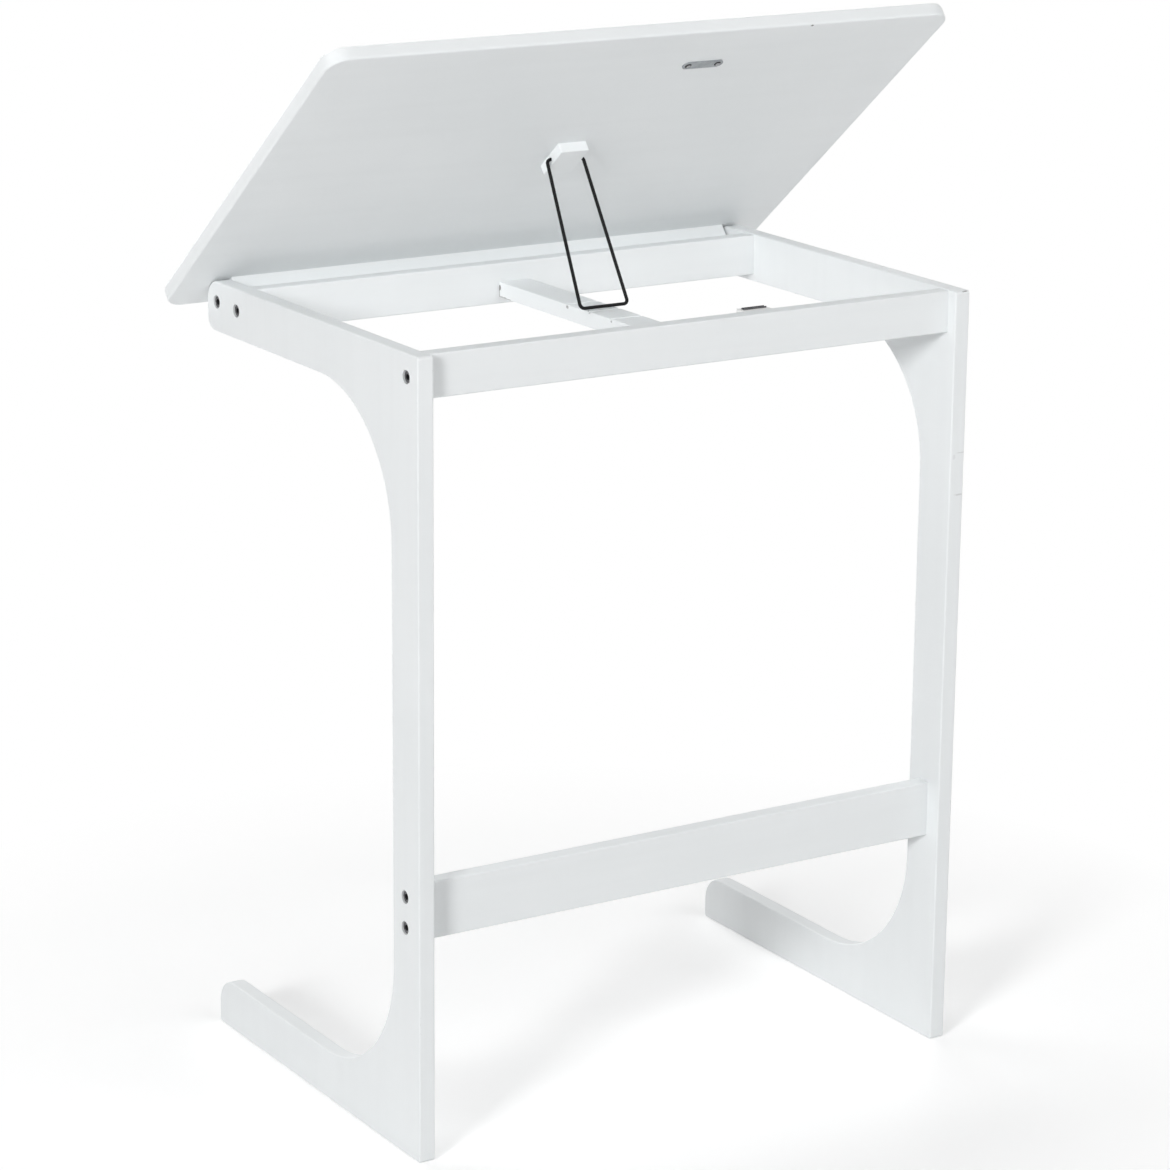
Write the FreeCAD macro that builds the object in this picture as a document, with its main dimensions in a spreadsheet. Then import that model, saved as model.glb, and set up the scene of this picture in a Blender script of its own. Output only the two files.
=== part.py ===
import FreeCAD, Part
import math
import os
import re
import Sketcher
from FreeCAD import Placement, Rotation, Vector

# Driving sizes, in millimetres and degrees. The frame's front edges stand at Y = 0 while it is drawn.
SIZES = {
    "frame_width": 544.0,
    "frame_depth": 368.0,
    "frame_height": 687.0,
    "panel_thickness": 15.0,
    "limb_width": 44.0,
    "inner_radius": 120.0,
    "arm_tip_radius": 12.0,
    "foot_tip_radius": 25.0,
    "corner_radius": 3.0,
    "arris_radius": 1.5,
    "pivot_setback": 18.0,
    "pivot_drop": 18.0,
    "rail_thickness": 15.0,
    "rail_height": 36.5,
    "rail_drop": 1.0,
    "front_rail_inset": 10.5,
    "back_rail_gap": 29.0,
    "stretcher_inset": 16.0,
    "stretcher_height": 50.0,
    "stretcher_rise": 190.5,
    "stretcher_bolt_pitch": 27.0,
    "rack_width": 31.0,
    "rack_thickness": 14.0,
    "rack_drop": 17.6,
    "rack_edge_radius": 1.0,
    "groove_radius": 2.2,
    "groove_pitch": 35.5,
    "groove_count": 4,
    "grooves_in_front": 2,
    "tilt_angle": 39.0,
    "top_width": 608.0,
    "top_thickness": 13.0,
    "top_front_overhang": 14.0,
    "top_back_overhang": 19.0,
    "top_gap": 0.6,
    "top_corner_radius": 18.0,
    "top_edge_radius": 3.0,
    "top_under_radius": 2.0,
    "hinge_rail_height": 37.0,
    "hinge_rail_play": 2.5,
    "hinge_screw_pitch": 140.0,
    "hinge_screw_sink": 12.0,
    "hinge_screw_length": 34.0,
    "bolt_diameter": 6.0,
    "bolt_length": 22.0,
    "bolt_head_diameter": 10.0,
    "bolt_head_height": 5.5,
    "bolt_socket_radius": 2.9,
    "bolt_socket_depth": 3.0,
    "bolt_sink_diameter": 11.5,
    "bolt_sink_depth": 7.0,
    "bolt_hole_diameter": 6.5,
    "pivot_hole_diameter": 6.16,
    "pivot_head_play": 0.3,
    "insert_diameter": 9.0,
    "insert_length": 14.0,
    "insert_bore": 6.1,
    "fit_play": 0.1,
    "dowel_diameter": 6.0,
    "dowel_drop": 11.0,
    "dowel_in_panel": 8.0,
    "dowel_in_rail": 15.0,
    "rack_dowel_pitch": 14.0,
    "block_width": 28.0,
    "block_length": 38.0,
    "block_height": 9.0,
    "block_center_y": 174.5,
    "block_edge_radius": 1.0,
    "block_dowel_pitch": 24.0,
    "block_dowel_in": 6.0,
    "block_dowel_out": 7.0,
    "wire_diameter": 3.0,
    "wire_bend": 4.0,
    "wire_hole_diameter": 3.16,
    "hook_inner": 6.0,
    "hook_half_width": 18.3,
    "prop_half_width": 23.7,
    "prop_foot_y": 156.0,
    "prop_lift": 1.8,
    "screw_diameter": 3.0,
    "screw_head_diameter": 6.4,
    "screw_head_height": 1.7,
    "screw_crown": 0.9,
    "screw_recess_width": 0.9,
    "screw_recess_span": 3.4,
    "screw_recess_depth": 0.9,
    "catch_x": 72.0,
    "catch_length": 44.0,
    "catch_core_length": 27.0,
    "catch_reach": 16.0,
    "catch_height": 14.0,
    "catch_ear": 3.0,
    "catch_screw_pitch": 36.0,
    "catch_screw_length": 13.0,
    "magnet_length": 22.5,
    "magnet_height": 11.2,
    "magnet_center": 10.0,
    "magnet_thickness": 2.6,
    "pole_thickness": 0.8,
    "pole_rise": 1.3,
    "pole_gap": 0.3,
    "catch_floor": 2.0,
    "plate_length": 40.0,
    "plate_width": 10.0,
    "plate_thickness": 1.0,
    "plate_setback": 2.8,
    "plate_screw_pitch": 29.4,
    "plate_screw_length": 10.0,
}

# Sizes that follow from the driving ones. Names ending in _y and _z are places in the frame,
# and under_z, hook_back and hook_drop are measured from the pivot with the top closed.
DERIVED = {
    "inner_width": "=frame_width - 2 * panel_thickness",
    "pivot_y": "=frame_depth - pivot_setback",
    "pivot_z": "=frame_height - pivot_drop",
    "under_z": "=pivot_drop + top_gap",
    "front_rail_y": "=front_rail_inset + rail_thickness",
    "back_rail_y": "=pivot_y - back_rail_gap - rail_thickness",
    "rail_z": "=frame_height - rail_drop - rail_height",
    "rail_mid_z": "=rail_z + rail_height / 2",
    "rack_z": "=frame_height - rack_drop",
    "rack_length": "=back_rail_y - front_rail_y",
    "front_bolt_y": "=front_rail_inset + rail_thickness / 2",
    "back_bolt_y": "=back_rail_y + rail_thickness / 2",
    "stretcher_bolt_y": "=stretcher_inset + rail_thickness / 2",
    "stretcher_mid_z": "=stretcher_rise + stretcher_height / 2",
    "low_bolt_z": "=stretcher_mid_z - stretcher_bolt_pitch / 2",
    "high_bolt_z": "=stretcher_mid_z + stretcher_bolt_pitch / 2",
    "dowel_z": "=rail_mid_z - dowel_drop",
    "rack_mid_z": "=rack_z - rack_thickness / 2",
    "groove_first_y": "=prop_foot_y - grooves_in_front * groove_pitch",
    "top_depth": "=frame_depth + top_front_overhang + top_back_overhang",
    "top_back": "=pivot_setback + top_back_overhang",
    "rest_back": "=pivot_y + top_edge_radius + (top_back - top_edge_radius) * cos(tilt_angle)"
                 " + (under_z + top_thickness - top_edge_radius) * sin(tilt_angle)",
    "origin_y": "=rest_back / 2",
    "hook_back": "=block_center_y - pivot_y",
    "hook_drop": "=under_z - block_height / 2",
    "hook_y": "=pivot_y + hook_back * cos(tilt_angle) + hook_drop * sin(tilt_angle)",
    "hook_z": "=pivot_z - hook_back * sin(tilt_angle) + hook_drop * cos(tilt_angle)",
    "prop_run": "=hook_y - prop_foot_y",
    "prop_fall": "=hook_z - rack_z - prop_lift - wire_diameter / 2",
    "prop_length": "=sqrt(prop_run * prop_run + prop_fall * prop_fall)",
    "prop_lean": "=atan(prop_run / prop_fall)",
    "pole_top_z": "=pivot_z + under_z - plate_thickness - pole_gap",
    "catch_z": "=pole_top_z - pole_rise - catch_height",
    "catch_mid_z": "=catch_z + catch_height / 2",
    "catch_screw_y": "=front_rail_y + catch_ear",
    "magnet_y": "=front_rail_y + magnet_center",
    "plate_z": "=under_z - plate_thickness",
    "plate_y": "=magnet_y + plate_setback - pivot_y",
    "hinge_length": "=inner_width - 2 * hinge_rail_play",
    "hinge_bottom": "=under_z - hinge_rail_height",
    "crown_radius": "=(screw_head_diameter * screw_head_diameter / 4 + screw_crown * screw_crown)"
                    " / (2 * screw_crown)",
}

ALONG_X = Rotation(Vector(0, 1, 0), 90)
AGAINST_X = Rotation(Vector(0, 1, 0), -90)
ALONG_Y = Rotation(Vector(1, 0, 0), -90)
AGAINST_Y = Rotation(Vector(1, 0, 0), 90)
UPRIGHT = Rotation()
SIDES = (("left", "-"), ("right", ""))

doc = FreeCAD.newDocument("tilting_side_table")
sheet = doc.addObject("Spreadsheet::Sheet", "Sizes")
for row, (alias, content) in enumerate([*SIZES.items(), *DERIVED.items()], 1):
    sheet.set(f"A{row}", alias)
    sheet.set(f"B{row}", str(content))
    sheet.setAlias(f"B{row}", alias)
doc.recompute()


def scoped(text):
    """Return an expression with every size name pointing into the sheet."""
    def point(match):
        word = match.group(0)
        return f"Sizes.{word}" if word in SIZES or word in DERIVED else word
    return re.sub(r"[a-z]\w*", point, text)


def bind(target, **expressions):
    """Bind properties of a document object to expressions over the sizes."""
    for name, text in expressions.items():
        target.setExpression(name, scoped(text))


def put(target, place, rotation=UPRIGHT):
    """Stand an object at three expressions, turned by a rotation."""
    target.Placement = Placement(Vector(), rotation)
    for axis, text in zip("xyz", place):
        target.setExpression(f"Placement.Base.{axis}", scoped(text))


def size_of(name):
    """Return a size from the sheet as a plain number."""
    content = sheet.get(name)
    return float(getattr(content, "Value", content))


def primitive(kind, name, place, rotation=UPRIGHT, **sizes):
    """Add a Part primitive with bound sizes and place."""
    made = doc.addObject(f"Part::{kind}", name)
    bind(made, **sizes)
    put(made, place, rotation)
    return made


def new_body(name):
    """Add an empty body that is named for the file it becomes."""
    made = doc.addObject("PartDesign::Body", name)
    made.Label = name
    return made


def feature(body, kind, name, place, rotation=UPRIGHT, **sizes):
    """Add an additive or subtractive primitive to a body."""
    made = body.newObject(f"PartDesign::{kind}", f"{body.Name}_{name}")
    bind(made, **sizes)
    put(made, place, rotation)
    return made


def round_edges(body, name, radius, wanted):
    """Fillet those edges of a body's latest shape that the test picks."""
    doc.recompute()
    base = body.Tip
    names = [f"Edge{number}" for number, edge in enumerate(base.Shape.Edges, 1) if wanted(edge.BoundBox)]
    made = body.newObject("PartDesign::Fillet", f"{body.Name}_{name}")
    made.Base = (base, names)
    bind(made, Radius=radius)
    doc.recompute()
    return made


def hole(body, name, place, rotation, radius, depth):
    """Cut a round hole into a body."""
    return feature(body, "SubtractiveCylinder", name, place, rotation, Radius=radius, Height=depth)


def runs_x(box):
    """Tell whether an edge with this box lies straight along X."""
    return box.XLength > 1 and box.YLength < 1e-4 and box.ZLength < 1e-4


def runs_y(box):
    """Tell whether an edge with this box lies straight along Y."""
    return box.YLength > 1 and box.XLength < 1e-4 and box.ZLength < 1e-4


def runs_z(box):
    """Tell whether an edge with this box lies straight along Z."""
    return box.ZLength > 1 and box.XLength < 1e-4 and box.YLength < 1e-4


def stand_in_frame(target, x="0"):
    """Move a frame piece from drawing place to the shared origin."""
    put(target, (x, "-origin_y", "0"))


def hang_on_pivot(target):
    """Tilt a piece of the top, drawn closed around the pivot, to its rest pose."""
    put(target, ("0", "pivot_y - origin_y", "pivot_z"), Rotation(Vector(1, 0, 0), 1))
    target.setExpression("Placement.Rotation.Angle", scoped("-tilt_angle * 1 deg"))


def group(name, members):
    """Gather separate solids under one file name."""
    made = doc.addObject("Part::Compound", name)
    made.Label = name
    made.Links = members
    return made


def cut(name, base, tool):
    """Take one shape away from another."""
    made = doc.addObject("Part::Cut", name)
    made.Base = base
    made.Tool = tool
    return made


def fuse(name, members):
    """Join shapes into one solid."""
    made = doc.addObject("Part::MultiFuse", name)
    made.Shapes = members
    return made


# Side panels: a C drawn in the YZ plane, rounded, then drilled from its outer face
BOLT_PLACES = {
    "pivot": ("pivot_y", "pivot_z", "pivot_hole_diameter / 2"),
    "front": ("front_bolt_y", "rail_mid_z", "bolt_hole_diameter / 2"),
    "back": ("back_bolt_y", "rail_mid_z", "bolt_hole_diameter / 2"),
    "low": ("stretcher_bolt_y", "low_bolt_z", "bolt_hole_diameter / 2"),
    "high": ("stretcher_bolt_y", "high_bolt_z", "bolt_hole_diameter / 2"),
}


def draw_c(body):
    """Sketch the C as eight straight sides with bound lengths."""
    depth, height, limb = size_of("frame_depth"), size_of("frame_height"), size_of("limb_width")
    corners = [(0, 0), (depth, 0), (depth, limb), (limb, limb), (limb, height - limb),
               (depth, height - limb), (depth, height), (0, height)]
    sketch = body.newObject("Sketcher::SketchObject", f"{body.Name}_outline")
    sketch.AttachmentSupport = [(body.Origin.OriginFeatures[5], "")]
    sketch.MapMode = "FlatFace"
    count = len(corners)
    for index, (y, z) in enumerate(corners):
        next_y, next_z = corners[(index + 1) % count]
        sketch.addGeometry(Part.LineSegment(Vector(y, z, 0), Vector(next_y, next_z, 0)), False)
    for index in range(count):
        sketch.addConstraint(Sketcher.Constraint("Coincident", index, 2, (index + 1) % count, 1))
        sketch.addConstraint(Sketcher.Constraint("Vertical" if index % 2 else "Horizontal", index))
    sketch.addConstraint(Sketcher.Constraint("Coincident", 0, 1, -1, 1))
    lengths = [
        ("DistanceX", (0, 1, 0, 2, depth), "frame_depth"),
        ("DistanceY", (1, 1, 1, 2, limb), "limb_width"),
        ("DistanceX", (7, 2, 2, 2, limb), "limb_width"),
        ("DistanceX", (7, 1, 6, 1, depth), "frame_depth"),
        ("DistanceY", (5, 1, 5, 2, limb), "limb_width"),
        ("DistanceY", (7, 2, 7, 1, height), "frame_height"),
    ]
    for kind, terms, alias in lengths:
        index = sketch.addConstraint(Sketcher.Constraint(kind, *terms))
        sketch.setExpression(f"Constraints[{index}]", scoped(alias))
    return sketch


def side_panel(name, outer_x, shift):
    """Build one C panel; outer_x is 0 if its outer face looks to -X, or the thickness if to +X."""
    body = new_body(name)
    pad = body.newObject("PartDesign::Pad", f"{name}_pad")
    pad.Profile = draw_c(body)
    bind(pad, Length="panel_thickness")
    depth, height, limb = size_of("frame_depth"), size_of("frame_height"), size_of("limb_width")

    def corner(*places):
        return lambda box: runs_x(box) and any(
            abs(box.YMin - y) < 1e-3 and abs(box.ZMin - z) < 1e-3 for y, z in places)

    round_edges(body, "inside", "inner_radius", corner((limb, limb), (limb, height - limb)))
    round_edges(body, "arm_end", "pivot_setback", corner((depth, height)))
    round_edges(body, "arm_tip", "arm_tip_radius", corner((depth, height - limb)))
    round_edges(body, "foot_tip", "foot_tip_radius", corner((depth, limb)))
    round_edges(body, "corners", "corner_radius", corner((0, 0), (0, height), (depth, 0)))
    round_edges(body, "arris", "arris_radius", lambda box: box.XLength < 1e-4)
    from_left = outer_x == "0"
    sink_x = "-1" if from_left else "panel_thickness - bolt_sink_depth"
    inner_x = "panel_thickness - dowel_in_panel" if from_left else "-1"
    for place, (y, z, radius) in BOLT_PLACES.items():
        hole(body, f"{place}_hole", ("-1", y, z), ALONG_X, radius, "panel_thickness + 2")
        hole(body, f"{place}_sink", (sink_x, y, z), ALONG_X,
             "bolt_sink_diameter / 2", "bolt_sink_depth + 1")
    for place in ("front", "back"):
        hole(body, f"{place}_dowel", (inner_x, f"{place}_bolt_y", "dowel_z"), ALONG_X,
             "(dowel_diameter + fit_play) / 2", "dowel_in_panel + 1")
    stand_in_frame(body, shift)
    return body


left_side_panel = side_panel("left_side_panel", "0", "-frame_width / 2")
right_side_panel = side_panel("right_side_panel", "panel_thickness", "frame_width / 2 - panel_thickness")


# Rails between the panels, with a hole in each end for a threaded insert
def rail(name, y, z, height):
    """Build a rail with rounded long edges."""
    body = new_body(name)
    feature(body, "AdditiveBox", "board", ("-inner_width / 2", y, z),
            Length="inner_width", Width="rail_thickness", Height=height)
    round_edges(body, "arris", "arris_radius", runs_x)
    stand_in_frame(body)
    return body


def end_holes(body, name, y, z, radius, depth, length="inner_width"):
    """Drill the same hole into both ends of a rail."""
    hole(body, f"{name}_left", (f"-{length} / 2 - 1", y, z), ALONG_X, radius, f"{depth} + 1")
    hole(body, f"{name}_right", (f"{length} / 2 + 1", y, z), AGAINST_X, radius, f"{depth} + 1")


HEAD_HOLE = "(screw_head_diameter + fit_play) / 2"
INSERT_HOLE = "(insert_diameter + fit_play) / 2"
DOWEL_HOLE = "(dowel_diameter + fit_play) / 2"
SCREW_HOLE = "(screw_diameter + fit_play) / 2"

front_rail = rail("front_rail", "front_rail_inset", "rail_z", "rail_height")
back_rail = rail("back_rail", "back_rail_y", "rail_z", "rail_height")
lower_stretcher = rail("lower_stretcher", "stretcher_inset", "stretcher_rise", "stretcher_height")
for body, place in ((front_rail, "front"), (back_rail, "back")):
    end_holes(body, "insert", f"{place}_bolt_y", "rail_mid_z", INSERT_HOLE, "insert_length")
    end_holes(body, "dowel", f"{place}_bolt_y", "dowel_z", DOWEL_HOLE, "dowel_in_rail")
for place in ("low", "high"):
    end_holes(lower_stretcher, place, "stretcher_bolt_y", f"{place}_bolt_z",
              INSERT_HOLE, "insert_length")
for side, sign in SIDES:
    rack_dowel_x = f"{sign}rack_dowel_pitch / 2"
    hole(front_rail, f"rack_{side}", (rack_dowel_x, "front_rail_y + 1", "rack_mid_z"), AGAINST_Y,
         DOWEL_HOLE, "dowel_in_panel + 1")
    hole(back_rail, f"rack_{side}", (rack_dowel_x, "back_rail_y - 1", "rack_mid_z"), ALONG_Y,
         DOWEL_HOLE, "dowel_in_panel + 1")
    ear_x = f"catch_x + {sign}catch_screw_pitch / 2"
    hole(front_rail, f"catch_{side}", (ear_x, "front_rail_y + 1", "catch_mid_z"), AGAINST_Y,
         SCREW_HOLE, "catch_screw_length - catch_ear + 1")

# Grooved rack that the prop's foot is set on
prop_rack = new_body("prop_rack")
feature(prop_rack, "AdditiveBox", "bar", ("-rack_width / 2", "front_rail_y", "rack_z - rack_thickness"),
        Length="rack_width", Width="rack_length", Height="rack_thickness")
round_edges(prop_rack, "arris", "rack_edge_radius", runs_y)
groove = hole(prop_rack, "groove", ("-rack_width", "groove_first_y", "rack_z"), ALONG_X,
              "groove_radius", "2 * rack_width")
grooves = prop_rack.newObject("PartDesign::LinearPattern", "prop_rack_grooves")
grooves.Originals = [groove]
grooves.Direction = (prop_rack.Origin.OriginFeatures[1], [""])
bind(grooves, Length="(groove_count - 1) * groove_pitch", Occurrences="groove_count")
prop_rack.Tip = grooves
for side, sign in SIDES:
    rack_dowel_x = f"{sign}rack_dowel_pitch / 2"
    hole(prop_rack, f"front_{side}", (rack_dowel_x, "front_rail_y - 1", "rack_mid_z"), ALONG_Y,
         DOWEL_HOLE, "dowel_in_rail + 1")
    hole(prop_rack, f"back_{side}", (rack_dowel_x, "back_rail_y + 1", "rack_mid_z"), AGAINST_Y,
         DOWEL_HOLE, "dowel_in_rail + 1")
stand_in_frame(prop_rack)


# Fasteners: each group is one file of separate solids
def bolt(name, side, y, z, play="0"):
    """Build a socket head bolt from the outer face of one panel towards the middle."""
    head = primitive("Cylinder", f"{name}_head", ("-bolt_head_height", "0", "0"), ALONG_X,
                     Radius="bolt_head_diameter / 2", Height="bolt_head_height")
    shank = primitive("Cylinder", f"{name}_shank", ("-bolt_head_height / 2", "0", "0"), ALONG_X,
                      Radius="bolt_diameter / 2", Height="bolt_length + bolt_head_height / 2")
    socket = primitive("Prism", f"{name}_socket", ("-bolt_head_height - 1", "0", "0"), ALONG_X,
                       Circumradius="bolt_socket_radius", Height="bolt_socket_depth + 1")
    socket.Polygon = 6
    made = cut(name, fuse(f"{name}_blank", [head, shank]), socket)
    turn = UPRIGHT if side == "-" else Rotation(Vector(0, 0, 1), 180)
    inward = "" if side == "-" else "-"
    put(made, (f"{side}frame_width / 2 + {inward}(bolt_sink_depth - {play})", y, z), turn)
    return made


def insert(name, side, y, z, length="inner_width"):
    """Build a threaded insert in one end of a rail."""
    turn = ALONG_X if side == "-" else AGAINST_X
    place = (f"{side}{length} / 2", y, z)
    outer = primitive("Cylinder", f"{name}_outer", place, turn,
                      Radius="insert_diameter / 2", Height="insert_length")
    bore = primitive("Cylinder", f"{name}_bore", place, turn,
                     Radius="insert_bore / 2", Height="insert_length")
    return cut(name, outer, bore)


def dowel(name, place, rotation, length):
    """Build a plain dowel."""
    return primitive("Cylinder", name, place, rotation, Radius="dowel_diameter / 2", Height=length)


def screw(name, place, rotation, length, raised=False):
    """Build a countersunk screw: its head's rim is at its place, its tip a length along."""
    head = primitive("Cone", f"{name}_head", ("0", "0", "0"), Radius1="screw_head_diameter / 2",
                     Radius2="screw_diameter / 2", Height="screw_head_height")
    shank = primitive("Cylinder", f"{name}_shank", ("0", "0", "screw_head_height / 2"),
                      Radius="screw_diameter / 2",
                      Height=f"{length} - screw_head_height / 2 - screw_diameter")
    tip = primitive("Cone", f"{name}_tip", ("0", "0", f"{length} - screw_diameter"),
                    Radius1="screw_diameter / 2", Radius2="screw_diameter / 12", Height="screw_diameter")
    members = [head, shank, tip]
    if raised:
        members.append(primitive("Sphere", f"{name}_crown", ("0", "0", "crown_radius - screw_crown"),
                                 Radius="crown_radius", Angle1="-90 deg",
                                 Angle2="-asin((crown_radius - screw_crown) / crown_radius)"))
    bars = []
    for index, (across, along) in enumerate((("screw_recess_width", "screw_recess_span"),
                                             ("screw_recess_span", "screw_recess_width"))):
        bars.append(primitive("Box", f"{name}_bar_{index}", (f"-{across} / 2", f"-{along} / 2", "-1"),
                              Length=across, Width=along, Height="screw_recess_depth + 1"))
    made = cut(name, fuse(f"{name}_blank", members), fuse(f"{name}_recess", bars))
    put(made, place, rotation)
    return made


bolt_groups = {"front_rail": ["front"], "back_rail": ["back"], "stretcher": ["low", "high"]}
for owner, places in bolt_groups.items():
    bolts = []
    inserts = []
    for place in places:
        y, z, _ = BOLT_PLACES[place]
        for side, sign in SIDES:
            bolts.append(bolt(f"{place}_bolt_{side}", sign, y, z))
            inserts.append(insert(f"{place}_insert_{side}", sign, y, z))
    stand_in_frame(group(f"{owner}_bolts", bolts))
    stand_in_frame(group(f"{owner}_inserts", inserts))

for place in ("front", "back"):
    pins = []
    for side, sign in SIDES:
        turn = ALONG_X if side == "left" else AGAINST_X
        away = "-" if side == "left" else ""
        end = (f"{sign}inner_width / 2 + {away}dowel_in_panel", f"{place}_bolt_y", "dowel_z")
        pins.append(dowel(f"{place}_dowel_{side}", end, turn, "dowel_in_panel + dowel_in_rail"))
    stand_in_frame(group(f"{place}_rail_dowels", pins))

rack_pins = []
for side, sign in SIDES:
    rack_dowel_x = f"{sign}rack_dowel_pitch / 2"
    front_end = (rack_dowel_x, "front_rail_y - dowel_in_panel", "rack_mid_z")
    back_end = (rack_dowel_x, "back_rail_y + dowel_in_panel", "rack_mid_z")
    length = "dowel_in_panel + dowel_in_rail"
    rack_pins.append(dowel(f"rack_front_dowel_{side}", front_end, ALONG_Y, length))
    rack_pins.append(dowel(f"rack_back_dowel_{side}", back_end, AGAINST_Y, length))
stand_in_frame(group("rack_dowels", rack_pins))

# Magnetic catch behind the front rail
catch_body = new_body("catch_body")
feature(catch_body, "AdditiveBox", "ears", ("catch_x - catch_length / 2", "front_rail_y", "catch_z"),
        Length="catch_length", Width="catch_ear", Height="catch_height")
feature(catch_body, "AdditiveBox", "core",
        ("catch_x - catch_core_length / 2", "front_rail_y", "catch_z"),
        Length="catch_core_length", Width="catch_reach", Height="catch_height")
feature(catch_body, "SubtractiveBox", "pocket",
        ("catch_x - (magnet_length + fit_play) / 2",
         "magnet_y - magnet_thickness / 2 - pole_thickness - fit_play / 2", "catch_z + catch_floor"),
        Length="magnet_length + fit_play", Width="magnet_thickness + 2 * pole_thickness + fit_play",
        Height="catch_height")
catch_screws = []
for side, sign in SIDES:
    ear_x = f"catch_x + {sign}catch_screw_pitch / 2"
    hole(catch_body, f"hole_{side}", (ear_x, "catch_screw_y + 1", "catch_mid_z"), AGAINST_Y,
         SCREW_HOLE, "catch_ear + 2")
    feature(catch_body, "SubtractiveCone", f"sink_{side}", (ear_x, "catch_screw_y", "catch_mid_z"),
            AGAINST_Y, Radius1=HEAD_HOLE, Radius2=SCREW_HOLE, Height="screw_head_height")
    catch_screws.append(screw(f"catch_screw_{side}", (ear_x, "catch_screw_y", "catch_mid_z"), AGAINST_Y,
                              "catch_screw_length"))
stand_in_frame(catch_body)
stand_in_frame(group("catch_screws", catch_screws))

catch_magnet = new_body("catch_magnet")
feature(catch_magnet, "AdditiveBox", "block",
        ("catch_x - magnet_length / 2", "magnet_y - magnet_thickness / 2", "catch_z + catch_floor"),
        Length="magnet_length", Width="magnet_thickness", Height="magnet_height")
stand_in_frame(catch_magnet)

pole_plates = []
for side, pole_y in (("front", "magnet_y - magnet_thickness / 2 - pole_thickness"),
                     ("back", "magnet_y + magnet_thickness / 2")):
    pole_plates.append(primitive("Box", f"pole_plate_{side}",
                                 ("catch_x - magnet_length / 2", pole_y, "catch_z + catch_floor"),
                                 Length="magnet_length", Width="pole_thickness",
                                 Height="catch_height - catch_floor + pole_rise"))
stand_in_frame(group("catch_pole_plates", pole_plates))

# Top board, drawn closed around the pivot
table_top = new_body("table_top")
feature(table_top, "AdditiveBox", "board", ("-top_width / 2", "top_back - top_depth", "under_z"),
        Length="top_width", Width="top_depth", Height="top_thickness")
round_edges(table_top, "plan", "top_corner_radius", runs_z)
under_level = size_of("under_z")
upper_level = under_level + size_of("top_thickness")
round_edges(table_top, "upper", "top_edge_radius", lambda box: abs(box.ZMin - upper_level) < 1e-3)
round_edges(table_top, "lower", "top_under_radius", lambda box: abs(box.ZMax - under_level) < 1e-3)

# Rail under the board that turns on the pivot bolts
hinge_rail = new_body("hinge_rail")
feature(hinge_rail, "AdditiveBox", "board", ("-hinge_length / 2", "-rail_thickness / 2", "hinge_bottom"),
        Length="hinge_length", Width="rail_thickness", Height="hinge_rail_height")
lower_level = size_of("hinge_bottom")
round_edges(hinge_rail, "arris", "arris_radius",
            lambda box: runs_x(box) and abs(box.ZMin - lower_level) < 1e-3)
end_holes(hinge_rail, "insert", "0", "0", INSERT_HOLE, "insert_length", "hinge_length")
hinge_screws = []
for index in range(4):
    screw_x = f"({index} - 1.5) * hinge_screw_pitch"
    seat = (screw_x, "0", "hinge_bottom + hinge_screw_sink")
    hole(hinge_rail, f"sink_{index}", (screw_x, "0", "hinge_bottom - 1"), UPRIGHT,
         HEAD_HOLE, "hinge_screw_sink + 1")
    feature(hinge_rail, "SubtractiveCone", f"seat_{index}", seat,
            Radius1=HEAD_HOLE, Radius2=SCREW_HOLE, Height="screw_head_height")
    hole(hinge_rail, f"hole_{index}", (screw_x, "0", "hinge_bottom"), UPRIGHT,
         SCREW_HOLE, "hinge_rail_height + 1")
    hole(table_top, f"hinge_{index}", (screw_x, "0", "under_z - 1"), UPRIGHT, SCREW_HOLE,
         "hinge_screw_length + hinge_screw_sink - hinge_rail_height + 1")
    hinge_screws.append(screw(f"hinge_screw_{index}", seat, UPRIGHT, "hinge_screw_length"))
hang_on_pivot(hinge_rail)
hang_on_pivot(group("hinge_rail_screws", hinge_screws))

pivot_bolts = []
pivot_inserts = []
for side, sign in SIDES:
    pivot_bolts.append(bolt(f"pivot_bolt_{side}", sign, "0", "0", "pivot_head_play"))
    pivot_inserts.append(insert(f"pivot_insert_{side}", sign, "0", "0", "hinge_length"))
hang_on_pivot(group("pivot_bolts", pivot_bolts))
hang_on_pivot(group("pivot_inserts", pivot_inserts))

# Block that carries the wire prop
prop_block = new_body("prop_block")
feature(prop_block, "AdditiveBox", "block",
        ("-block_width / 2", "hook_back - block_length / 2", "under_z - block_height"),
        Length="block_width", Width="block_length", Height="block_height")
round_edges(prop_block, "arris", "block_edge_radius", lambda box: box.ZMin < under_level - 1e-3)
hole(prop_block, "wire", ("-block_width / 2 - 1", "hook_back", "hook_drop"), ALONG_X,
     "wire_hole_diameter / 2", "block_width + 2")
block_pins = []
for side, sign in SIDES:
    pin_y = f"hook_back + {sign}block_dowel_pitch / 2"
    hole(prop_block, f"dowel_{side}", ("0", pin_y, "under_z - block_dowel_in"), UPRIGHT,
         DOWEL_HOLE, "block_dowel_in + 1")
    hole(table_top, f"block_{side}", ("0", pin_y, "under_z - 1"), UPRIGHT,
         DOWEL_HOLE, "block_dowel_out + 1")
    block_pins.append(dowel(f"block_dowel_{side}", ("0", pin_y, "under_z - block_dowel_in"), UPRIGHT,
                            "block_dowel_in + block_dowel_out"))
hang_on_pivot(prop_block)
hang_on_pivot(group("prop_block_dowels", block_pins))

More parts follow.
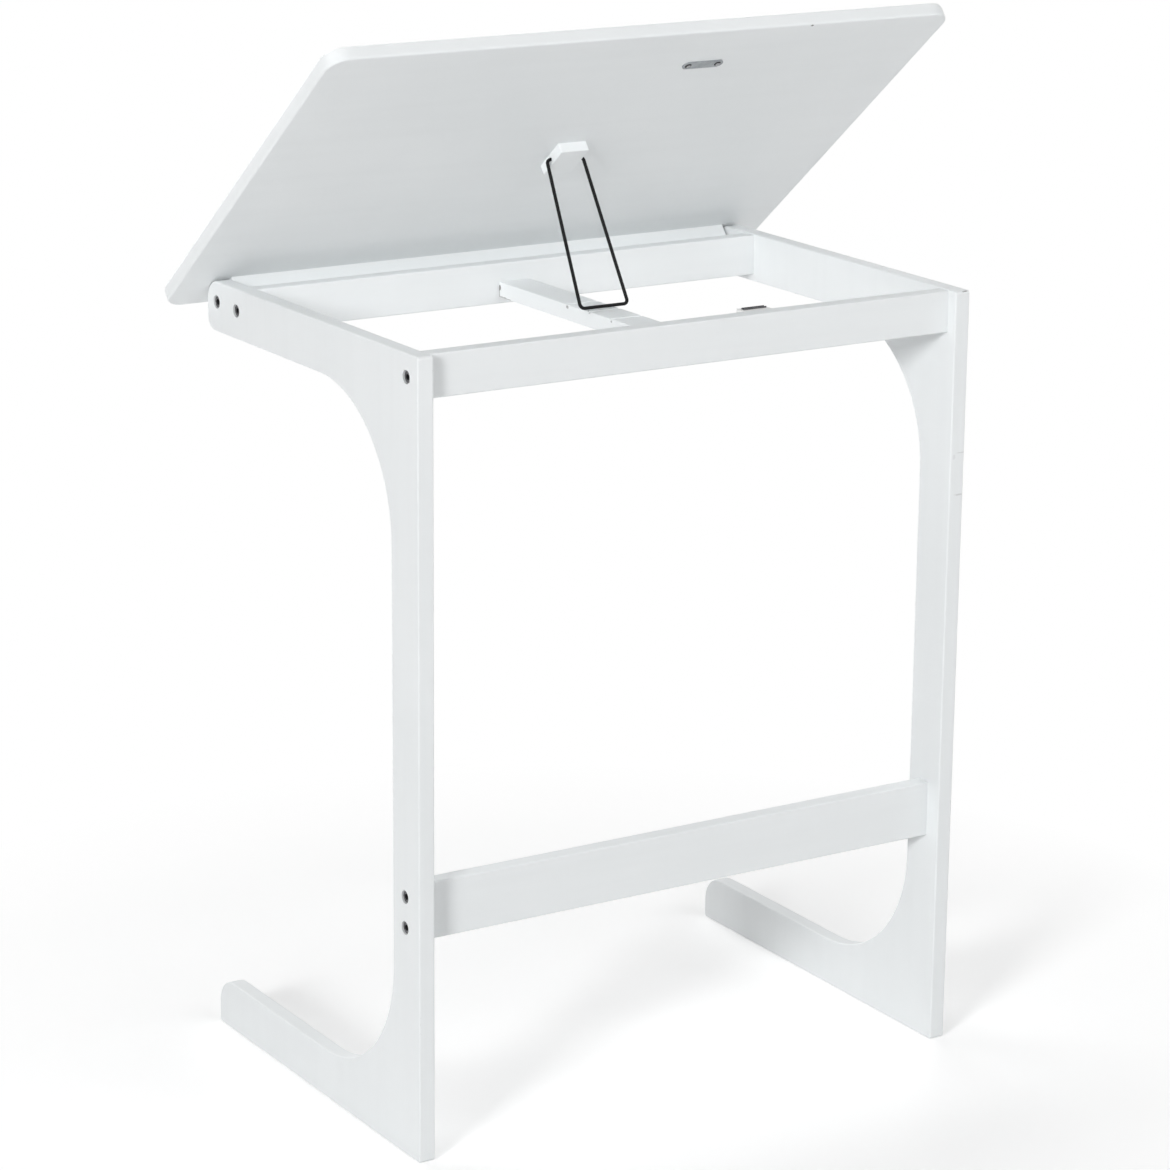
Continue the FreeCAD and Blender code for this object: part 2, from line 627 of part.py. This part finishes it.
# Strike plate that meets the catch
strike_plate = new_body("strike_plate")
feature(strike_plate, "AdditiveBox", "middle",
        ("catch_x - (plate_length - plate_width) / 2", "plate_y - plate_width / 2", "plate_z"),
        Length="plate_length - plate_width", Width="plate_width", Height="plate_thickness")
plate_screws = []
for side, sign in SIDES:
    feature(strike_plate, "AdditiveCylinder", f"end_{side}",
            (f"catch_x + {sign}(plate_length - plate_width) / 2", "plate_y", "plate_z"),
            Radius="plate_width / 2", Height="plate_thickness")
for side, sign in SIDES:
    plate_screw_x = f"catch_x + {sign}plate_screw_pitch / 2"
    seat = (plate_screw_x, "plate_y", "plate_z")
    feature(strike_plate, "SubtractiveCone", f"seat_{side}", seat,
            Radius1=HEAD_HOLE, Radius2=SCREW_HOLE, Height="screw_head_height")
    feature(table_top, "SubtractiveCone", f"plate_seat_{side}", seat,
            Radius1=HEAD_HOLE, Radius2=SCREW_HOLE, Height="screw_head_height")
    hole(table_top, f"plate_{side}", (plate_screw_x, "plate_y", "under_z - 1"), UPRIGHT,
         SCREW_HOLE, "plate_screw_length - plate_thickness + 1")
    plate_screws.append(screw(f"plate_screw_{side}", seat, UPRIGHT, "plate_screw_length", raised=True))
hang_on_pivot(table_top)
hang_on_pivot(strike_plate)
hang_on_pivot(group("strike_plate_screws", plate_screws))


# Wire prop: a bent path in its own plane, swept, then leant from the block to the rack
def draw_prop():
    """Sketch hook, leg, foot, leg and hook as lines joined by tangent bends."""
    inner, top, foot = size_of("hook_inner"), size_of("hook_half_width"), size_of("prop_half_width")
    bend, length = size_of("wire_bend"), size_of("prop_length")
    sketch = doc.addObject("Sketcher::SketchObject", "prop_path")

    def line(x1, y1, x2, y2):
        return sketch.addGeometry(Part.LineSegment(Vector(x1, y1, 0), Vector(x2, y2, 0)), False)

    def arc(x, y, start, end):
        circle = Part.Circle(Vector(x, y, 0), Vector(0, 0, 1), bend)
        return sketch.addGeometry(Part.ArcOfCircle(circle, math.radians(start), math.radians(end)), False)

    hook_right = line(inner, 0, top - bend, 0)
    bend_right = arc(top - bend, -bend, 0, 90)
    leg_right = line(top, -bend, foot, bend - length)
    heel_right = arc(foot - bend, bend - length, 270, 360)
    crossbar = line(foot - bend, -length, bend - foot, -length)
    heel_left = arc(bend - foot, bend - length, 180, 270)
    leg_left = line(-foot, bend - length, -top, -bend)
    bend_left = arc(bend - top, -bend, 90, 180)
    hook_left = line(bend - top, 0, -inner, 0)
    joints = [
        (hook_right, 2, bend_right, 2),
        (bend_right, 1, leg_right, 1),
        (leg_right, 2, heel_right, 2),
        (heel_right, 1, crossbar, 1),
        (crossbar, 2, heel_left, 2),
        (heel_left, 1, leg_left, 1),
        (leg_left, 2, bend_left, 2),
        (bend_left, 1, hook_left, 1),
    ]
    for first, first_end, second, second_end in joints:
        sketch.addConstraint(Sketcher.Constraint("Tangent", first, first_end, second, second_end))
    for flat in (hook_right, hook_left):
        sketch.addConstraint(Sketcher.Constraint("PointOnObject", flat, 1, -1))
        sketch.addConstraint(Sketcher.Constraint("Horizontal", flat))
    sketch.addConstraint(Sketcher.Constraint("Horizontal", crossbar))
    dimensions = [("Radius", (arc_index, bend), "wire_bend")
                  for arc_index in (bend_right, heel_right, heel_left, bend_left)]
    dimensions += [
        ("DistanceX", (-1, 1, hook_right, 1, inner), "hook_inner"),
        ("DistanceX", (hook_left, 2, -1, 1, inner), "hook_inner"),
        ("DistanceX", (-1, 1, bend_right, 3, top - bend), "hook_half_width - wire_bend"),
        ("DistanceX", (bend_left, 3, -1, 1, top - bend), "hook_half_width - wire_bend"),
        ("DistanceX", (-1, 1, heel_right, 3, foot - bend), "prop_half_width - wire_bend"),
        ("DistanceX", (heel_left, 3, -1, 1, foot - bend), "prop_half_width - wire_bend"),
        ("DistanceY", (crossbar, 1, -1, 1, length), "prop_length"),
    ]
    for kind, terms, text in dimensions:
        index = sketch.addConstraint(Sketcher.Constraint(kind, *terms))
        sketch.setExpression(f"Constraints[{index}]", scoped(text))
    doc.recompute()
    return sketch


prop_path = draw_prop()
prop_section = primitive("Circle", "prop_section", ("hook_inner", "0", "0"), ALONG_X,
                         Radius="wire_diameter / 2")
prop_wire = doc.addObject("Part::Sweep", "prop_wire")
prop_wire.Label = "prop_wire"
prop_wire.Sections = [prop_section]
prop_wire.Spine = (prop_path, [f"Edge{number}" for number in range(1, len(prop_path.Shape.Edges) + 1)])
prop_wire.Solid = True
prop_wire.Frenet = False
put(prop_wire, ("0", "hook_y - origin_y", "hook_z"), Rotation(Vector(1, 0, 0), 1))
prop_wire.setExpression("Placement.Rotation.Angle", scoped("90 deg - prop_lean"))
doc.recompute()

NODES = [
    "left_side_panel", "right_side_panel", "front_rail", "back_rail", "lower_stretcher", "prop_rack",
    "front_rail_bolts", "back_rail_bolts", "stretcher_bolts",
    "front_rail_inserts", "back_rail_inserts", "stretcher_inserts",
    "front_rail_dowels", "back_rail_dowels", "rack_dowels",
    "catch_body", "catch_magnet", "catch_pole_plates", "catch_screws",
    "table_top", "hinge_rail", "hinge_rail_screws", "pivot_bolts", "pivot_inserts",
    "prop_block", "prop_block_dowels", "strike_plate", "strike_plate_screws", "prop_wire",
]

for item in doc.Objects:
    if {"Invalid", "Error"} & set(item.State):
        raise RuntimeError(f"{item.Name} did not build: {item.State}")
os.makedirs("parts", exist_ok=True)
for name in NODES:
    shape = doc.getObject(name).Shape
    if shape.isNull() or not shape.isValid() or not shape.Solids:
        raise RuntimeError(f"{name} has no valid solid")
    shape.exportStep(f"parts/{name}.step")
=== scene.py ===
import math

import bpy
from mathutils import Matrix, Vector


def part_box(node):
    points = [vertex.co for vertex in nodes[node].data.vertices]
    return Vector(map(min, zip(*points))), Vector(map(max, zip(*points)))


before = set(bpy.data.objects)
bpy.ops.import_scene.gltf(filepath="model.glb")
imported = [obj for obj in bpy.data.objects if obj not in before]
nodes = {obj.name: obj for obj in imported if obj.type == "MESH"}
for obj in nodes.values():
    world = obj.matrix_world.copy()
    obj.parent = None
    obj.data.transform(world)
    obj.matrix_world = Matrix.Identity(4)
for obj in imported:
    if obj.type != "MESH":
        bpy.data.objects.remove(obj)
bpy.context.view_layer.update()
scene = bpy.context.scene

# Camera solved from the photograph's edges, for a square picture of 1170 pixels
PICTURE = 1170
FOCAL_PIXELS = 3880.4
SENSOR_MM = 36.0
CLIP_END = 200
CAMERA_AZIMUTH = math.radians(-32.036)
CAMERA_ELEVATION = math.radians(15.737)
CAMERA_ROLL = math.radians(0.517)

# The camera's place, from the point on the floor under the middle of the frame's front
FRONT_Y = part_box("left_side_panel")[0][1]
CAMERA_FROM_FRONT = Vector((-1.7405, -2.5981, 1.3428))

# Floor and world: the lift is light added to the floor where it is seen, and past the fade it is white
WHITE = (1, 1, 1)
FLOOR_HALF = 40.0
FLOOR_TONE = (0.95, 0.95, 0.95)
FLOOR_LIFT = 0.205
FLOOR_FADE = (0.42, 0.75)
AMBIENT = 0.01

# Softboxes: name, place and size in metres, and power in watts
LAMP_TARGET = Vector((0, 0, 0.45))
LAMPS = (
    ("left_high", (-3.6, -1.2, 3.6), 2.6, 20),
    ("overhead", (0.0, -1.2, 4.6), 2.4, 23),
    ("left_front", (-7.2, -4.3, 3.25), 1.8, 408),
    ("front", (0.6, -3.6, 3.0), 2.0, 40),
    ("right_front", (2.6, -3.4, 2.2), 2.4, 31),
    ("right", (4.6, 0.9, 1.1), 2.0, 24),
    ("back", (0.4, 5.2, 1.1), 2.2, 36),
    ("back_right", (1.2, 3.4, 4.2), 2.6, 52),
    ("back_left", (-1.6, 3.2, 4.2), 2.6, 61),
)

# Directions of grain and brushing: a texture is drawn out along the axis with the small number
ALONG_X = (0.06, 1, 1)
ALONG_Y = (1, 0.06, 1)
ALONG_Z = (1, 1, 0.06)
EVEN = (1, 1, 1)

# White paint: colours, coat factors, roughness and relief. The top and the pieces under it are painted
# paler than the frame: painted light, which brightens them where the lamps leave them too dark.
PAINT_LIGHT = (0.829, 0.851, 0.859)
PAINT_DARK = (0.803, 0.827, 0.835)
PAINT_FLECK = (0.781, 0.803, 0.811)
# The dark that chips bare, which also colours the painted shade marks
PRIMER_AND_SHADE = (0.19, 0.185, 0.18)
FRAME_COAT = 1.0
# Factors above 1 are painted light: these pieces are painted paler than the same paint on the frame
TOP_PAINTED_LIGHT = 1.05
UNDER_PAINTED_LIGHT = 1.08
FLECK_SHARE = 0.35
PAINT_ROUGHNESS = (0.4, 0.5)
CHIP_ROUGHNESS = 0.3
PEEL_HEIGHT = 0.5
FIBRE_HEIGHT = 0.8
CHIP_DEPTH = 1.5

# Chips lie within CHIP_EDGE of an edge, and marks have a ragged rim
CHIP_EDGE = 0.002
MARK_RAGGED = 0.5
MARK_RIM = (0.75, 1.15)

# Paint chips and marks that the photograph shows: centre and half sizes in metres, and strength
TOP_MARKS = (
    ((0.157, -0.1178, 0.9119), (0.0024, 0.0013, 0.0013), 1.0),
)
RIGHT_PANEL_MARKS = (
    ((0.2664, FRONT_Y, 0.6864), (0.0034, 0.0016, 0.0010), 0.85),
    ((0.2690, FRONT_Y, 0.5443), (0.0065, 0.0012, 0.0005), 0.2),
    ((0.2610, FRONT_Y, 0.5415), (0.0016, 0.0012, 0.0022), 0.12),
    ((0.2668, FRONT_Y, 0.5068), (0.0035, 0.0012, 0.0007), 0.27),
)

# Painted shade: dark specks in the left ends of the rack's free grooves, counted from the groove under the
# prop's foot
RACK_LOW, RACK_HIGH = (Vector(corner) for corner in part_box("prop_rack"))
WIRE_RADIUS = 0.0015
FOOT_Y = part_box("prop_wire")[0][1] + WIRE_RADIUS
GROOVE_PITCH = 0.0355
GROOVE_DEPTH = 0.0022
FREE_GROOVES = (-2, -1, 1)
GROOVE_SHADE_HALF = (0.0020, 0.0016, 0.0013)
GROOVE_SHADE_STRENGTH = 0.6
RACK_GROOVE_SHADE = tuple(
    ((RACK_LOW.x, FOOT_Y + step * GROOVE_PITCH, RACK_HIGH.z - GROOVE_DEPTH), GROOVE_SHADE_HALF, GROOVE_SHADE_STRENGTH)
    for step in FREE_GROOVES)

# Painted shade in the open joint at the rack's back end, as dark marks
RACK_JOINT_SHADE = (
    ((RACK_LOW.x, RACK_HIGH.y, RACK_HIGH.z - 0.0060), (0.0012, 0.0024, 0.0030), 1.0),
    ((RACK_LOW.x, RACK_HIGH.y, RACK_LOW.z + 0.0040), (0.0012, 0.0011, 0.0045), 0.75),
    ((RACK_LOW.x, RACK_HIGH.y - 0.0110, RACK_LOW.z), (0.0012, 0.0095, 0.0014), 0.6),
)

# Metal: dull spots, rubbed edges, and how far roughness varies round its middle value
SPOT_SHARE = 0.6
SPOT_TONE = 0.6
RUB_EDGE = 0.0004
RUB_SHARE = 0.4
RUB_TONE = 1.3
SMOOTHER = 0.08
ROUGHER = 0.1

# The strike plate leans with the top, which is open by TOP_TILT, and its dark screws have a highlight
# painted bright on their crowns
TOP_TILT = math.radians(39)
PLATE_CENTRE = sum((Vector(corner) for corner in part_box("strike_plate")), Vector()) / 2
PLATE_SCREW_PITCH = 0.0294
CROWN_FADE = (0.0013, 0.0020)
CROWN_HIGHLIGHT = (0.95, 0.95, 0.96)

# Node settings: the range that most values of a noise fall in, and the edge finder's
NOISE_RANGE = (0.3, 0.7)
EDGE_SAMPLES = 6
EDGE_COSINES = (0.9, 0.985)


def add_camera():
    """Place the camera at the photograph's viewpoint."""
    back = Vector((math.sin(CAMERA_AZIMUTH) * math.cos(CAMERA_ELEVATION),
                   -math.cos(CAMERA_AZIMUTH) * math.cos(CAMERA_ELEVATION),
                   math.sin(CAMERA_ELEVATION)))
    level = Vector((math.cos(CAMERA_AZIMUTH), math.sin(CAMERA_AZIMUTH), 0))
    upright = back.cross(level)
    right = level * math.cos(CAMERA_ROLL) + upright * math.sin(CAMERA_ROLL)
    up = upright * math.cos(CAMERA_ROLL) - level * math.sin(CAMERA_ROLL)
    place = CAMERA_FROM_FRONT + Vector((0, FRONT_Y, 0))
    data = bpy.data.cameras.new("camera")
    data.sensor_fit = "HORIZONTAL"
    data.sensor_width = SENSOR_MM
    data.lens = FOCAL_PIXELS / PICTURE * SENSOR_MM
    data.clip_end = CLIP_END
    camera = bpy.data.objects.new("camera", data)
    camera.matrix_world = Matrix((
        (right.x, up.x, back.x, place.x),
        (right.y, up.y, back.y, place.y),
        (right.z, up.z, back.z, place.z),
        (0, 0, 0, 1)))
    scene.collection.objects.link(camera)
    scene.camera = camera


class Graph:
    """Shorthand for building the node tree of a material or a world."""

    def __init__(self, owner, output="ShaderNodeOutputMaterial"):
        self.owner = owner
        self.owner.use_nodes = True
        self.tree = self.owner.node_tree
        self.tree.nodes.clear()
        self.output = self.add(output)

    def add(self, kind, **settings):
        """Add a node and set its properties."""
        node = self.tree.nodes.new(kind)
        for name, value in settings.items():
            setattr(node, name, value)
        return node

    def feed(self, socket, value):
        """Set a socket from a number, a tuple or another node's output."""
        if isinstance(value, bpy.types.NodeSocket):
            self.tree.links.new(value, socket)
        else:
            socket.default_value = value

    def place(self, stretch=EVEN):
        """Return object coordinates in metres, scaled on each axis."""
        coordinates = self.add("ShaderNodeTexCoord")
        mapping = self.add("ShaderNodeMapping")
        mapping.inputs["Scale"].default_value = stretch
        self.feed(mapping.inputs["Vector"], coordinates.outputs["Object"])
        return mapping.outputs["Vector"]

    def noise(self, scale, detail=2.0, roughness=0.5, stretch=EVEN):
        """Return noise from 0 to 1."""
        node = self.add("ShaderNodeTexNoise")
        node.inputs["Scale"].default_value = scale
        node.inputs["Detail"].default_value = detail
        node.inputs["Roughness"].default_value = roughness
        self.feed(node.inputs["Vector"], self.place(stretch))
        return node.outputs["Fac"]

    def spread(self, value, low, high, source=NOISE_RANGE):
        """Map the source range to the range from low to high, clamped."""
        node = self.add("ShaderNodeMapRange")
        node.inputs["From Min"].default_value = source[0]
        node.inputs["From Max"].default_value = source[1]
        node.inputs["To Min"].default_value = low
        node.inputs["To Max"].default_value = high
        self.feed(node.inputs["Value"], value)
        return node.outputs["Result"]

    def math(self, operation, first, second=0.0):
        """Combine two numbers."""
        node = self.add("ShaderNodeMath", operation=operation)
        self.feed(node.inputs[0], first)
        self.feed(node.inputs[1], second)
        return node.outputs["Value"]

    def vector(self, operation, first, second=(0, 0, 0)):
        """Combine two vectors; a dot product or a length comes out as a number."""
        node = self.add("ShaderNodeVectorMath", operation=operation)
        self.feed(node.inputs[0], first)
        self.feed(node.inputs[1], second)
        return node.outputs["Value" if operation in ("DOT_PRODUCT", "LENGTH") else "Vector"]

    def mix(self, factor, first, second):
        """Mix two colours, each a tuple or a socket."""
        node = self.add("ShaderNodeMix", data_type="RGBA")
        self.feed(node.inputs["Factor"], factor)
        for name, value in (("A", first), ("B", second)):
            socket = next(s for s in node.inputs if s.name == name and s.type == "RGBA")
            self.feed(socket, (*value, 1) if isinstance(value, tuple) else value)
        return next(s for s in node.outputs if s.type == "RGBA")

    def edges(self, radius):
        """Return 1 along the edges of the piece and 0 on its flat and evenly curved faces."""
        bevel = self.add("ShaderNodeBevel", samples=EDGE_SAMPLES)
        bevel.inputs["Radius"].default_value = radius
        normal = self.add("ShaderNodeNewGeometry").outputs["Normal"]
        return self.spread(self.vector("DOT_PRODUCT", bevel.outputs["Normal"], normal), 1, 0, EDGE_COSINES)

    def bump(self, height, strength, distance):
        """Return the normal of a surface with this relief."""
        node = self.add("ShaderNodeBump")
        node.inputs["Strength"].default_value = strength
        node.inputs["Distance"].default_value = distance
        self.feed(node.inputs["Height"], height)
        return node.outputs["Normal"]

    def surface(self, colour, roughness, normal, metallic=0.0, specular=0.5):
        """Finish a material with the main shader."""
        shader = self.add("ShaderNodeBsdfPrincipled")
        shader.inputs["Metallic"].default_value = metallic
        shader.inputs["Specular IOR Level"].default_value = specular
        self.feed(shader.inputs["Base Color"], colour)
        self.feed(shader.inputs["Roughness"], roughness)
        self.feed(shader.inputs["Normal"], normal)
        self.feed(self.output.inputs["Surface"], shader.outputs["BSDF"])

    def choose(self, factor, first, second):
        """Finish a tree with the first shader where the factor is 0 and the second where it is 1."""
        node = self.add("ShaderNodeMixShader")
        for socket, value in zip(node.inputs, (factor, first, second)):
            self.feed(socket, value)
        self.feed(self.output.inputs["Surface"], node.outputs["Shader"])


def scaled(colour, share):
    """Return a colour made lighter or darker by a share."""
    return tuple(share * channel for channel in colour)


def white_paint(name, grain, painted_light=FRAME_COAT, marks=()):
    """Satin white paint on board: sprayed skin, faint grain, a few chipped spots on the edges, and given
    marks; a coat factor above 1 lightens the colour as painted light.
    """
    graph = Graph(bpy.data.materials.new(name))
    cloud = graph.noise(scale=7.0, detail=3.0)
    fine = graph.noise(scale=190.0, detail=3.0)
    peel = graph.noise(scale=800.0)
    fibre = graph.noise(scale=75.0, detail=4.0, roughness=0.6, stretch=grain)
    # The coat factor scales the paint colours; above 1 it paints light onto the piece
    tone = graph.mix(graph.spread(cloud, 0, 1), scaled(PAINT_LIGHT, painted_light), scaled(PAINT_DARK, painted_light))
    fleck = graph.spread(fibre, 0, FLECK_SHARE, source=(0.45, 0.75))
    tone = graph.mix(fleck, tone, scaled(PAINT_FLECK, painted_light))
    patch = graph.spread(graph.noise(scale=11.0, detail=1.0), 0, 1, source=(0.6, 0.66))
    spot = graph.spread(graph.noise(scale=330.0), 0, 1, source=(0.64, 0.68))
    chips_and_shade = graph.math("MULTIPLY", graph.math("MULTIPLY", graph.edges(CHIP_EDGE), patch), spot)
    # Given marks join the chips; on the rack they are painted shade, in the groove ends and the back joint
    for centre, half, strength in marks:
        away = graph.vector("DIVIDE", graph.vector("SUBTRACT", graph.place(), centre), half)
        ragged = graph.spread(fine, -MARK_RAGGED, MARK_RAGGED)
        reach = graph.math("ADD", graph.vector("LENGTH", away), ragged)
        chips_and_shade = graph.math("MAXIMUM", chips_and_shade, graph.spread(reach, strength, 0, MARK_RIM))
    # Chips show the dark primer, and the same dark paints the shade where a mark is painted shade
    tone = graph.mix(chips_and_shade, tone, PRIMER_AND_SHADE)
    satin = graph.spread(graph.math("ADD", fine, cloud), *PAINT_ROUGHNESS, source=(0.7, 1.3))
    roughness = graph.math("ADD", satin, graph.math("MULTIPLY", chips_and_shade, CHIP_ROUGHNESS))
    skin = graph.math("MULTIPLY", peel, PEEL_HEIGHT)
    height = graph.math("ADD", skin, graph.math("MULTIPLY", fibre, FIBRE_HEIGHT))
    height = graph.math("SUBTRACT", height, graph.math("MULTIPLY", chips_and_shade, CHIP_DEPTH))
    graph.surface(tone, roughness, graph.bump(height, strength=0.1, distance=0.0003))
    return graph.owner


def metal(name, light, dark, rough, brush=EVEN, painted_highlight=None):
    """Plain or plated metal with fine brushing, cloudy plating, small dull spots, rubbed edges and, where
    a mask is given, a painted highlight.
    """
    graph = Graph(bpy.data.materials.new(name))
    lines = graph.noise(scale=1200.0, detail=3.0, stretch=brush)
    cloud = graph.noise(scale=160.0, detail=3.0)
    spots = graph.spread(graph.noise(scale=700.0), 0, SPOT_SHARE, source=(0.6, 0.72))
    tone = graph.mix(graph.spread(cloud, 0, 1), light, dark)
    tone = graph.mix(spots, tone, scaled(dark, SPOT_TONE))
    rubbed = graph.math("MULTIPLY", graph.edges(RUB_EDGE), RUB_SHARE)
    tone = graph.mix(rubbed, tone, scaled(light, RUB_TONE))
    # A bright painted highlight where the mask is 1
    if painted_highlight:
        tone = graph.mix(painted_highlight(graph), tone, CROWN_HIGHLIGHT)
    both = graph.math("ADD", lines, cloud)
    roughness = graph.spread(both, rough - SMOOTHER, rough + ROUGHER, source=(0.6, 1.4))
    graph.surface(tone, roughness, graph.bump(lines, strength=0.15, distance=0.0002), metallic=1.0)
    return graph.owner


def crowns(graph):
    """Return 1 on the crowns of the strike plate's two screws, where a highlight is painted, and 0 round
    them.
    """
    away = graph.vector("SUBTRACT", graph.place(), tuple(PLATE_CENTRE))
    across = graph.math("ABSOLUTE", graph.vector("DOT_PRODUCT", away, (1, 0, 0)))
    across = graph.math("SUBTRACT", across, PLATE_SCREW_PITCH / 2)
    along = graph.vector("DOT_PRODUCT", away, (0, -math.cos(TOP_TILT), math.sin(TOP_TILT)))
    squares = [graph.math("MULTIPLY", side, side) for side in (across, along)]
    reach = graph.math("SQRT", graph.math("ADD", *squares))
    return graph.spread(reach, 1, 0, CROWN_FADE)


def coating(name):
    """Black dip coating on wire: slightly uneven, with a soft gloss."""
    graph = Graph(bpy.data.materials.new(name))
    cloud = graph.noise(scale=220.0, detail=3.0)
    skin = graph.noise(scale=1500.0)
    tone = graph.mix(graph.spread(cloud, 0, 1), (0.004, 0.004, 0.0045), (0.012, 0.012, 0.013))
    relief = graph.bump(skin, strength=0.1, distance=0.0002)
    graph.surface(tone, graph.spread(cloud, 0.42, 0.58), relief, specular=0.12)
    return graph.owner


def plastic(name):
    """Moulded white plastic with a fine spark texture."""
    graph = Graph(bpy.data.materials.new(name))
    skin = graph.noise(scale=2400.0)
    cloud = graph.noise(scale=90.0, detail=3.0)
    tone = graph.mix(graph.spread(cloud, 0, 1), (0.80, 0.80, 0.79), (0.84, 0.84, 0.83))
    relief = graph.bump(skin, strength=0.15, distance=0.0001)
    graph.surface(tone, graph.spread(skin, 0.36, 0.5), relief)
    return graph.owner


def ferrite(name):
    """Sintered magnet: dark grey with a fine grit."""
    graph = Graph(bpy.data.materials.new(name))
    grit = graph.noise(scale=1800.0, detail=4.0, roughness=0.7)
    tone = graph.mix(graph.spread(grit, 0, 1), (0.025, 0.025, 0.028), (0.07, 0.07, 0.075))
    relief = graph.bump(grit, strength=0.3, distance=0.0002)
    graph.surface(tone, graph.spread(grit, 0.55, 0.75), relief)
    return graph.owner


def beech(name):
    """Bare beech dowel with short flecks along the grain."""
    graph = Graph(bpy.data.materials.new(name))
    fleck = graph.noise(scale=900.0, detail=4.0, roughness=0.6, stretch=(0.15, 1, 1))
    cloud = graph.noise(scale=60.0, detail=3.0)
    tone = graph.mix(graph.spread(cloud, 0, 1), (0.66, 0.45, 0.27), (0.74, 0.54, 0.34))
    tone = graph.mix(graph.spread(fleck, 0, 0.6, source=(0.55, 0.7)), tone, (0.42, 0.26, 0.14))
    relief = graph.bump(fleck, strength=0.2, distance=0.0002)
    graph.surface(tone, graph.spread(fleck, 0.5, 0.65), relief)
    return graph.owner


def add_looks():
    """Give every CAD node its finish."""
    bolt_steel = metal("bolt_steel", (0.19, 0.19, 0.20), (0.11, 0.11, 0.115), 0.36)
    screw_steel = metal("screw_steel", (0.50, 0.50, 0.51), (0.36, 0.36, 0.37), 0.32)
    # Dark screw heads with a painted highlight on their crowns
    crown_steel = metal("crown_steel", (0.06, 0.06, 0.062), (0.035, 0.035, 0.037), 0.34, painted_highlight=crowns)
    insert_metal = metal("insert_metal", (0.66, 0.62, 0.50), (0.55, 0.50, 0.40), 0.36)
    plate_steel = metal("plate_steel", (0.385, 0.405, 0.42), (0.305, 0.325, 0.34), 0.42, ALONG_X)
    pole_steel = metal("pole_steel", (0.14, 0.14, 0.145), (0.09, 0.09, 0.095), 0.5, ALONG_X)
    looks = {
        white_paint("paint_along_x", ALONG_X): ["front_rail", "back_rail", "lower_stretcher"],
        # The rack carries painted shade in its groove ends and at its back joint
        white_paint("paint_along_y", ALONG_Y, marks=RACK_GROOVE_SHADE + RACK_JOINT_SHADE): ["prop_rack"],
        white_paint("paint_left_panel", ALONG_Z): ["left_side_panel"],
        white_paint("paint_right_panel", ALONG_Z, marks=RIGHT_PANEL_MARKS): ["right_side_panel"],
        # The top, hinge rail and prop block are painted paler: painted light
        white_paint("paint_top", ALONG_X, TOP_PAINTED_LIGHT, TOP_MARKS): ["table_top"],
        white_paint("paint_under_x", ALONG_X, UNDER_PAINTED_LIGHT): ["hinge_rail"],
        white_paint("paint_under_y", ALONG_Y, UNDER_PAINTED_LIGHT): ["prop_block"],
        bolt_steel: ["front_rail_bolts", "back_rail_bolts", "stretcher_bolts", "pivot_bolts"],
        screw_steel: ["catch_screws", "hinge_rail_screws"],
        crown_steel: ["strike_plate_screws"],
        insert_metal: ["front_rail_inserts", "back_rail_inserts", "stretcher_inserts", "pivot_inserts"],
        plate_steel: ["strike_plate"],
        pole_steel: ["catch_pole_plates"],
        plastic("catch_plastic"): ["catch_body"],
        ferrite("magnet_ferrite"): ["catch_magnet"],
        beech("dowel_wood"): ["front_rail_dowels", "back_rail_dowels", "rack_dowels", "prop_block_dowels"],
        coating("black_wire"): ["prop_wire"],
    }
    for material, names in looks.items():
        for name in names:
            nodes[name].data.materials.clear()
            nodes[name].data.materials.append(material)


def add_floor():
    """Lay the floor. Seen directly or in gloss it is lifted, and fades to white away from the table."""
    mesh = bpy.data.meshes.new("floor")
    half = FLOOR_HALF
    corners = [(-half, -half, 0), (half, -half, 0), (half, half, 0), (-half, half, 0)]
    mesh.from_pydata(corners, [], [(0, 1, 2, 3)])
    floor = bpy.data.objects.new("floor", mesh)
    scene.collection.objects.link(floor)
    graph = Graph(bpy.data.materials.new("floor"))
    matt = graph.add("ShaderNodeBsdfDiffuse")
    matt.inputs["Color"].default_value = (*FLOOR_TONE, 1)
    lift = graph.add("ShaderNodeEmission")
    path = graph.add("ShaderNodeLightPath")
    seen = graph.math("MAXIMUM", path.outputs["Is Camera Ray"], path.outputs["Is Glossy Ray"])
    graph.feed(lift.inputs["Strength"], graph.math("MULTIPLY", seen, FLOOR_LIFT))
    both = graph.add("ShaderNodeAddShader")
    graph.feed(both.inputs[0], matt.outputs["BSDF"])
    graph.feed(both.inputs[1], lift.outputs["Emission"])
    away = graph.spread(graph.vector("LENGTH", graph.place()), 0, 1, FLOOR_FADE)
    white = graph.add("ShaderNodeEmission")
    graph.choose(graph.math("MULTIPLY", seen, away), both.outputs["Shader"], white.outputs["Emission"])
    mesh.materials.append(graph.owner)


def add_world():
    """Light from all round. Seen directly, in gloss or through something it is plain white."""
    graph = Graph(bpy.data.worlds.new("studio"), "ShaderNodeOutputWorld")
    path = graph.add("ShaderNodeLightPath")
    seen = path.outputs["Is Camera Ray"]
    for ray in ("Is Glossy Ray", "Is Transmission Ray"):
        seen = graph.math("MAXIMUM", seen, path.outputs[ray])
    light = graph.add("ShaderNodeBackground")
    white = graph.add("ShaderNodeBackground")
    for background, strength in ((light, AMBIENT), (white, 1.0)):
        background.inputs["Color"].default_value = (*WHITE, 1)
        background.inputs["Strength"].default_value = strength
    graph.choose(seen, light.outputs["Background"], white.outputs["Background"])
    scene.world = graph.owner


def add_softbox(name, place, size, watts):
    """Hang a square soft light that faces the middle of the table."""
    data = bpy.data.lights.new(name, "AREA")
    data.shape = "SQUARE"
    data.size = size
    data.energy = watts
    lamp = bpy.data.objects.new(name, data)
    lamp.location = place
    lamp.rotation_euler = (LAMP_TARGET - Vector(place)).to_track_quat("-Z", "Y").to_euler()
    scene.collection.objects.link(lamp)


add_camera()
add_looks()
add_floor()
add_world()
for lamp in LAMPS:
    add_softbox(*lamp)
scene.view_settings.view_transform = "Standard"
